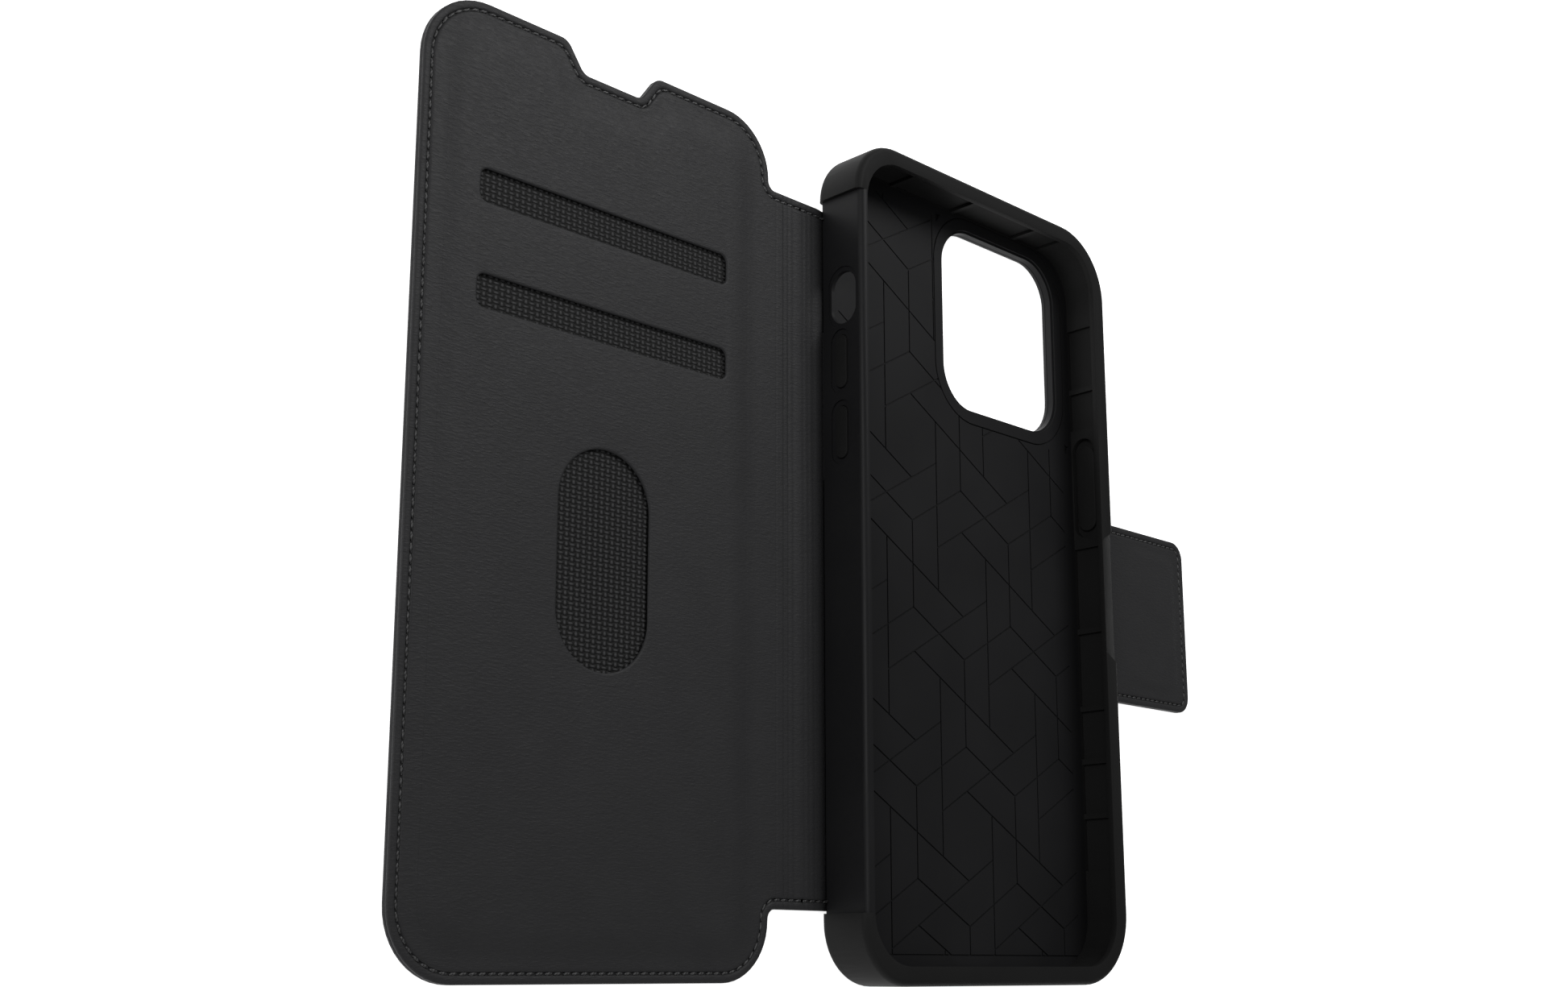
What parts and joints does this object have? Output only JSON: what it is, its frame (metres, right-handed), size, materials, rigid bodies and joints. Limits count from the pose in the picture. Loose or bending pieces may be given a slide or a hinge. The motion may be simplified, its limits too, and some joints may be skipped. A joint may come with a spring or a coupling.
{
  "type": "folio phone case",
  "caption": "Folio phone case lying open: rimmed bumper tray with camera opening, stitched leather cover with card slots and thumb window, and a magnetic strap.",
  "frame": {"origin": "centre of the tray's flat leather back, on the surface the open case rests on", "axes": "+Z out of the phone side, +Y towards the camera end, +X from the cover towards the strap"},
  "size_m": [0.2215, 0.1676, 0.0118],
  "materials": {
    "outer_leather": "fine pebble grain, matte",
    "inner_leather": "smooth grain, matte",
    "thread": "waxed polyester thread",
    "woven_cloth": "plain weave",
    "board": "pressed fibre board",
    "adhesive": "thin bonding film",
    "shell_plastic": "satin moulded polycarbonate",
    "surround_plastic": "satin moulded polycarbonate",
    "bumper_rubber": "matte soft elastomer",
    "key_rubber": "matte soft elastomer",
    "steel": "thin rolled strip",
    "magnet": "nickel-plated disc"
  },
  "bodies": {
    "tray": {"back_leather": "outer_leather", "back_adhesive": "adhesive", "hard_shell": "shell_plastic", "camera_surround": "surround_plastic", "bumper": "bumper_rubber"},
    "volume_up": {"volume_up_key": "key_rubber"},
    "volume_down": {"volume_down_key": "key_rubber"},
    "power": {"power_key": "key_rubber"},
    "spine": {"spine_outer_leather": "outer_leather", "spine_liner": "inner_leather", "spine_stitching": "thread"},
    "cover": {"cover_outer_leather": "outer_leather", "cover_board": "board", "cover_keeper_strip": "steel", "pocket_cloth": "woven_cloth", "cover_liner": "inner_leather", "cover_stitching": "thread"},
    "strap_side": {"strap_side_leather": "outer_leather", "strap_side_liner": "inner_leather", "strap_side_stitching": "thread"},
    "strap_tab": {"strap_tab_leather": "outer_leather", "strap_tab_plate": "board", "strap_magnets": "magnet", "strap_tab_liner": "inner_leather", "strap_tab_stitching": "thread"}
  },
  "joints": [
    {"name": "spine_fold", "type": "hinge", "parent": "tray", "child": "spine", "pos_m": [-0.0409, 0, 0.0016], "axis": [0, 1, 0], "range_deg": [0, 90]},
    {"name": "cover_fold", "type": "hinge", "parent": "spine", "child": "cover", "pos_m": [-0.0542, 0, 0.0016], "axis": [0, 1, 0], "range_deg": [0, 90]},
    {"name": "strap_fold", "type": "hinge", "parent": "tray", "child": "strap_side", "pos_m": [0.0423, 0, 0.0016], "axis": [0, -1, 0], "range_deg": [0, 90]},
    {"name": "tab_fold", "type": "hinge", "parent": "strap_side", "child": "strap_tab", "pos_m": [0.0582, 0, 0.0016], "axis": [0, -1, 0], "range_deg": [0, 90]},
    {"name": "volume_up_press", "type": "slide", "parent": "tray", "child": "volume_up", "axis": [1, 0, 0], "range_m": [0, 0.0003], "stiffness_N_per_m": 600},
    {"name": "volume_down_press", "type": "slide", "parent": "tray", "child": "volume_down", "axis": [1, 0, 0], "range_m": [0, 0.0003], "stiffness_N_per_m": 600},
    {"name": "power_press", "type": "slide", "parent": "tray", "child": "power", "axis": [-1, 0, 0], "range_m": [0, 0.0004], "stiffness_N_per_m": 600}
  ]
}
